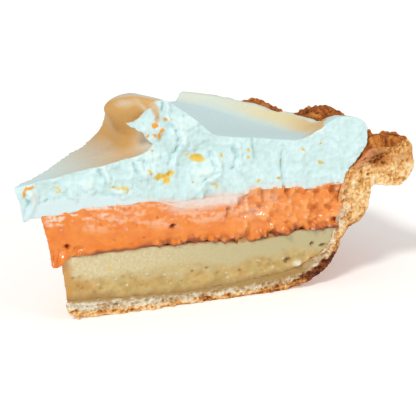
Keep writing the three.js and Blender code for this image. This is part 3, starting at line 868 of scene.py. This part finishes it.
def buildCream():
    plan = creamPlan
    marks = plan["marks"]
    cream = bentBlock("whippedCream", plan["counts"], placeCream)
    flake = bentBlock("tornFlake", plan["flake"]["counts"], placeFlake)
    pick(flake, cream)
    bpy.ops.object.join()
    evenOut(cream, plan["voxel"])
    p, n = readPoints(cream), readNormals(cream)
    x, y, z = p.T
    r = np.hypot(x, y)
    share = np.clip(np.arctan2(y, x) / turn, 0, 1)
    near, far = cutFaces(p, plan["reliefDepth"])
    cut = np.maximum(near, far)
    nearFace, face = facing(n, near, far)
    wobble = 0.6 * noiseAt(p, 1.6, 2.4)
    xw, zw = x + wobble, z + 0.6 * noiseAt(p, 1.6, 9.1)
    bandTop = curveAt(marks["bandTop"], x) + 1.6 * wobble
    band = near * (1 - ease(-0.4, 0.5, z - bandTop)) * (1 - ease(*marks["bandEnd"], x))

    # Plates, folds and scratches where the knife tore the cream.
    torn = 1 - 0.5 * ease(58, 72, r)
    plates = terrace(2.4 * noiseAt(p, plan["plateSize"], 3.7, 2), 0.6)
    folds = 0.3 - np.abs(noiseAt(p, plan["foldSize"], 6.3, 2))
    scratch = combed(p, lerp(-24, 30, ease(20, 50, x)), (1.2, 2, 3.6), 8.3)
    fan = spot(x, z, marks["fan"]) * combed(p, 12, (1.1, 2, 6), 1.3)
    pimples = noiseAt(p, plan["pimpleSize"], 5.5)
    crag = torn * (0.45 * plates + 0.65 * folds) + 0.34 * scratch + 0.24 * pimples
    crag = (crag + 0.4 * fan) * (1 - 0.85 * band)
    dimples = [near * spot(xw, zw, mark) for mark in marks["dimples"]]
    dimple = most(dimples)
    depth = most(here * mark[5] for here, mark in zip(dimples, marks["dimples"]))
    yolkLine = near * strokes(xw, zw, marks["yolkLines"], 0.55)
    speck = near * spots(xw, zw, marks["specks"])
    speck = np.maximum(speck, near * stroke(xw, zw, marks["hook"], 0.65))
    blush = near * spot(xw, zw, marks["blush"])
    lens = near * spot(x, z, marks["lens"])
    crease = near * most(stroke(x, z, route, width) for route, width in marks["creases"])
    lines = 0
    for route in marks["folds"]:
        lines = lines + (0.75 * stroke(xw - 0.5, zw, route, 1.3) - 0.6 * stroke(xw + 0.8, zw, route, 1))
    lines = lines - sum(0.9 * stroke(x, z, route, 0.9) for route in marks["grooves"])
    push = crag - depth + 0.2 * speck + lines + 0.7 * ease(0.1, 0.4, lens) - 0.7 * crease
    swept = 0.06 * noiseAt(p, (10, 1.8, 4), 4.1) + 0.11 * noiseAt(p, 1.1, 9.9)
    swept = swept + 0.6 * ease(94, 98, r) * noiseAt(p, (4, 4, 2), 7.2)
    p = pushCuts(p, near, far, push, 0.7 * crag)
    p = p + n * ((1 - cut) * ease(0.1, 0.5, np.abs(n[:, 0]) + n[:, 2]) * swept)[:, None]
    lift = jointLift(p, slicePlan["creamJoint"], near, far) - slicePlan["overlap"] * cut
    drip = 0.8 * near * (1 - ease(0.2, 1.4, np.abs(x - 1.6)))
    p[:, 2] += (lift - drip) * (1 - ease(33.2, 36, z))
    meetWall(p, near * (1 - ease(44, 47, z)))
    writePoints(cream, p)

    # Painted warm shade on the slope, the curl's wall and the ring's swoosh, painted shade on the upward tops
    # beyond the curl, and the pink joint.
    foot = curveAt(plan["foot"], y)
    # painted warm shade on the slope, deepening towards the curl
    slope = (0.1 + 0.9 * ease(2, 42, x)) * (1 - ease(foot - 3, foot + 4, x)) * (1 - ease(56, 59, z))
    # the curl's inner wall, facing the point: painted shade
    wall = ease(-0.3, 0.15, -n[:, 0]) * ease(46, 50, z) * (1 - ease(foot + 8, foot + 14, x)) * ease(16, 24, x)
    slope = slope * (0.95 + 0.1 * noiseAt(p, (9, 0.9, 3), 3.6))
    lip = 0.55 * stroke(xw, zw, *marks["paleLip"]) * (1 - ease(2, 5, y))
    cloud = 0.5 * spot(xw, zw, marks["cloud"]) + lip
    # less painted shade where the curl's top faces up, and in a lighter patch inside the curl
    wall = wall * (1 - most([0.6 * ease(0.6, 0.9, n[:, 2]) * ease(58, 61, z), cloud]))
    across = ease(0, 0.13, share)
    ringOut = lerp(marks["pocket"][1], curveAt(plan["ringCrest"], share), across)
    ringOut = ringOut + 0.3 * noiseAt(p, 5, 8.6)
    ringIn = lerp(marks["pocket"][0], ringOut - 7, across)
    # the swoosh: painted shade on the inner wall of the ring's lip
    swoosh = within(r, ringIn, ringOut - 1, ringOut - 0.3, ringOut + 0.4)
    swoosh = swoosh * lerp(1, 0.4, ease(0.4, 0.85, share))
    ringTop = within(r, ringOut - 2, ringOut, ringOut + 1, ringOut + 4)
    ringTop = 0.35 * ringTop * ease(0.05, 0.15, share)
    # painted warm shade on the slope, the curl's wall and the swoosh
    tan = most([slope, wall, 0.75 * swoosh * (1 - ease(0.14, 0.42, share))]) * (1 - face)
    joint = slicePlan["orangeTop"] + curveAt(slicePlan["creamJoint"], x)
    pink = 1 - ease(0.6, 2.6, z - joint + 1.2 * noiseAt(p, (4, 4, 1.5), 4.3))
    pink = nearFace * pink * ease(33, 40, x) * (1 - 0.6 * ease(66, 74, x))
    # painted shade on the swoosh, and a pale yellow tint along the ring's top
    addMask(cream, "butter", most([0.9 * swoosh, ringTop]) * (1 - face))
    corner = 1 - ease(1, 9, np.linalg.norm(p - marks["corner"], axis=1))
    # painted warm shade, lighter near the hollow's corner, and painted shade in the creases
    addMask(cream, "tan", np.maximum(tan * (1 - 0.5 * corner), 0.8 * ease(0.25, 0.9, crease)))
    # painted deeper warm shade on the curl's inner wall
    addMask(cream, "toast", wall * (1 - face) * (1 - 0.9 * corner))
    # painted shade on the upward-facing tops beyond the curl
    addMask(cream, "cool", (1 - face) * ease(0.3, 0.8, n[:, 2]) * ease(48, 58, x))
    addMask(cream, "yolk", np.maximum(ease(0.08, 0.5, dimple), 0.9 * ease(0.2, 0.7, yolkLine)))
    addMask(cream, "carrot", ease(0.08, 0.36, speck))
    addMask(cream, "blush", np.maximum(0.5 * blush, 0.85 * pink))
    addMask(cream, "beige", band)
    # painted light on raised crags and folds, painted shade in grooves and creases
    addMask(cream, "tone", 0.5 + face * (0.3 * crag + 0.25 * lines + 0.2 * pimples - 0.3 * crease))
    thinHidden(cream, (z < slicePlan["orangeTop"] + 0.3) & (cut < 0.1) & (r > 8), 0.1)
    return cream


# Materials.

def toLinear(code):  # sRGB hex to linear colour
    parts = [int(code[i:i + 2], 16) / 255 for i in (1, 3, 5)]
    return [c / 12.92 if c <= 0.04045 else ((c + 0.055) / 1.055) ** 2.4 for c in parts] + [1]


def addNode(tree, kind, settings=None, links=None):  # a node with its settings and its linked inputs
    node = tree.nodes.new(kind)
    for key, value in (settings or {}).items():
        if key == "stops":  # a colour ramp's places and colours
            band = node.color_ramp.elements
            while len(band) < len(value):
                band.new(0.5)
            for element, (place, code) in zip(band, value):
                element.position = place
                element.color = toLinear(code)
        elif isinstance(key, str) and hasattr(node, key):
            setattr(node, key, value)
        else:
            node.inputs[key].default_value = toLinear(value) if isinstance(value, str) else value
    for key, source in (links or {}).items():
        tree.links.new(source, node.inputs[key])
    return node


def newMaterial(name, settings):  # with values on the shader's own sockets
    material = bpy.data.materials.new(name)
    material.use_nodes = True
    shader = material.node_tree.nodes["Principled BSDF"]
    for key, value in settings.items():
        shader.inputs[key].default_value = value
    return material, material.node_tree, shader


def layered(tree, colour, coats, level=None):  # lays each coat over the last, where its mask is strong
    for name, coat in coats.items():
        share = addNode(tree, "ShaderNodeAttribute", {"attribute_name": name}).outputs["Fac"]
        settings, links = {"data_type": "RGBA"}, {0: share, 6: colour}
        if isinstance(coat, str):
            settings[7] = coat
        else:  # a ramp's colours along the level
            links[7] = addNode(tree, "ShaderNodeValToRGB", {"stops": coat}, {"Fac": level}).outputs["Color"]
        colour = addNode(tree, "ShaderNodeMix", settings, links).outputs[2]
    return colour


def finish(tree, shader, colour, height, depth):  # colour and a bump this many millimetres deep
    tree.links.new(colour, shader.inputs["Base Color"])
    bump = addNode(tree, "ShaderNodeBump", {"Distance": depth * mm}, {"Height": height})
    tree.links.new(bump.outputs["Normal"], shader.inputs["Normal"])


def creamMaterial():  # whipped dairy cream: matt and dense, with fine air bubbles
    material, tree, shader = newMaterial("whippedCream", {"Roughness": 0.5})
    place = addNode(tree, "ShaderNodeTexCoord").outputs["Object"]
    bubbles = addNode(tree, "ShaderNodeTexNoise", {"Scale": 1 / (0.8 * mm), "Detail": 2}, {"Vector": place})
    tone = addNode(tree, "ShaderNodeAttribute", {"attribute_name": "tone"}).outputs["Fac"]
    whites = {"stops": creamPlan["whites"]}
    colour = addNode(tree, "ShaderNodeValToRGB", whites, {"Fac": tone}).outputs["Color"]
    colour = layered(tree, colour, creamPlan["coats"])
    finish(tree, shader, colour, bubbles.outputs["Fac"], 0.12)
    return material


def orangeMaterial():  # set custard: smooth and wet where it was cut
    wet = {"Roughness": 0.38, "Specular IOR Level": 0.35, "Coat Weight": 0.5, "Coat Roughness": 0.12}
    material, tree, shader = newMaterial("orangeCustard", wet)
    place = addNode(tree, "ShaderNodeTexCoord").outputs["Object"]
    cloudy = addNode(tree, "ShaderNodeTexNoise", {"Scale": 1 / (4 * mm), "Detail": 4}, {"Vector": place})
    skin = addNode(tree, "ShaderNodeTexNoise", {"Scale": 1 / (0.9 * mm), "Detail": 2}, {"Vector": place})
    oranges = {"stops": orangePlan["oranges"]}
    colour = addNode(tree, "ShaderNodeValToRGB", oranges, {"Fac": cloudy.outputs["Fac"]}).outputs["Color"]
    colour = layered(tree, colour, orangePlan["coats"])
    finish(tree, shader, colour, skin.outputs["Fac"], 0.15)
    return material


def yellowMaterial():  # baked custard: close above, wet and see-through below
    wet = {"Roughness": 0.4, "Specular IOR Level": 0.4, "Coat Weight": 0.4, "Coat Roughness": 0.1}
    material, tree, shader = newMaterial("yellowCustard", wet)
    place = addNode(tree, "ShaderNodeTexCoord").outputs["Object"]
    grain = addNode(tree, "ShaderNodeTexNoise", {"Scale": 1 / (0.7 * mm), "Detail": 3}, {"Vector": place})
    cloudy = addNode(tree, "ShaderNodeTexNoise", {"Scale": 1 / (2.5 * mm), "Detail": 3}, {"Vector": place})
    close = {"stops": yellowPlan["close"]}
    colour = addNode(tree, "ShaderNodeValToRGB", close, {"Fac": grain.outputs["Fac"]}).outputs["Color"]
    colour = layered(tree, colour, yellowPlan["coats"], cloudy.outputs["Fac"])
    finish(tree, shader, colour, grain.outputs["Fac"], 0.1)
    return material


def crustMaterial():  # baked shortcrust: matt crumb, pale layers inside, brown skin outside
    material, tree, shader = newMaterial("bakedPastry", {"Roughness": 0.65, "Specular IOR Level": 0.25})
    place = addNode(tree, "ShaderNodeTexCoord").outputs["Object"]
    fine = addNode(tree, "ShaderNodeTexNoise", {"Scale": 1 / (0.6 * mm), "Detail": 3}, {"Vector": place})
    tone = addNode(tree, "ShaderNodeAttribute", {"attribute_name": "tone"}).outputs["Fac"]
    reach = {"From Min": -1, "From Max": 1, "To Min": -0.35, "To Max": 0.65}
    level = addNode(tree, "ShaderNodeMapRange", {"clamp": False, **reach}, {"Value": tone}).outputs["Result"]
    mix = {"operation": "MULTIPLY_ADD", 1: 0.7}
    level = addNode(tree, "ShaderNodeMath", mix, {0: fine.outputs["Fac"], 2: level}).outputs[0]
    golden = {"stops": crustPlan["golden"]}
    colour = addNode(tree, "ShaderNodeValToRGB", golden, {"Fac": level}).outputs["Color"]
    colour = layered(tree, colour, crustPlan["coats"], level)
    finish(tree, shader, colour, fine.outputs["Fac"], 0.3)
    return material


# Stage: floor, camera and lights.

stagePlan = {
    "target": (62.68, 20.0, 23.12),  # what the camera looks at, round the pie's axis
    "distance": 312.94,
    "azimuth": -19.5,
    "elevation": 17.5,
    "lens": 85,
    "lights": [  # name, degrees right of the near cut's front, degrees up, power, spread, colour
        ("keyLight", -48, 48, 1.5, 12, "#fffdf8"),
        ("rightFill", 50, 25, 0.6, 30, "#ffead0"),
    ],
    "room": 0.5,
    "floorSize": 8,
    "floorColour": "#fbfbfb",
    "floorGlow": 0.2,
}


def outward(azimuth, elevation):  # direction from the slice, degrees right of the front and up
    a, e = math.radians(azimuth), math.radians(elevation)
    return Vector((math.sin(a) * math.cos(e), -math.cos(a) * math.cos(e), math.sin(e)))


def buildStage():
    plan = stagePlan
    pick()
    bpy.ops.mesh.primitive_plane_add(size=plan["floorSize"])
    floor = bpy.context.object
    floor.name = "paleFloor"
    glow = {"Emission Color": toLinear("#ffffff"), "Emission Strength": plan["floorGlow"]}
    matt = {"Roughness": 0.9, "Base Color": toLinear(plan["floorColour"])}
    floor.data.materials.append(newMaterial("whiteTable", {**matt, **glow})[0])
    look = Vector(plan["target"]) + Vector((*slicePlan["axis"], 0))
    back = outward(plan["azimuth"], plan["elevation"])
    bpy.ops.object.camera_add(location=(look + back * plan["distance"]) * mm)
    camera = bpy.context.object
    camera.rotation_euler = (-back).to_track_quat("-Z", "Y").to_euler()
    camera.data.lens = plan["lens"]
    camera.data.clip_start = 0.01
    bpy.context.scene.camera = camera
    for name, azimuth, elevation, power, spread, colour in plan["lights"]:
        place = outward(azimuth, elevation)
        bpy.ops.object.light_add(type="SUN", location=place)
        lamp = bpy.context.object
        lamp.name = name
        lamp.data.energy = power
        lamp.data.angle = math.radians(spread)
        lamp.data.color = toLinear(colour)[:3]
        lamp.rotation_euler = place.to_track_quat("Z", "Y").to_euler()
    world = bpy.data.worlds.new("paleRoom")
    world.use_nodes = True
    room = world.node_tree.nodes["Background"]
    room.inputs["Color"].default_value = toLinear("#ffffff")
    room.inputs["Strength"].default_value = plan["room"]
    bpy.context.scene.world = world
    bpy.context.scene.view_settings.view_transform = "Standard"
    print("stage ready")


buildStage()
for build, node, slot, makeMaterial in (
    (buildCrust, "crust", "crust", crustMaterial),
    (buildYellow, "yellow_layer", "yellow_custard", yellowMaterial),
    (buildOrange, "orange_layer", "orange_custard", orangeMaterial),
    (buildCream, "whipped_cream", "whipped_cream", creamMaterial),
):
    piece = build()
    piece.data.materials.clear()
    piece.data.materials.append(makeMaterial())
    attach(piece, "root")
    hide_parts(node)
    print(piece.name, "finished")
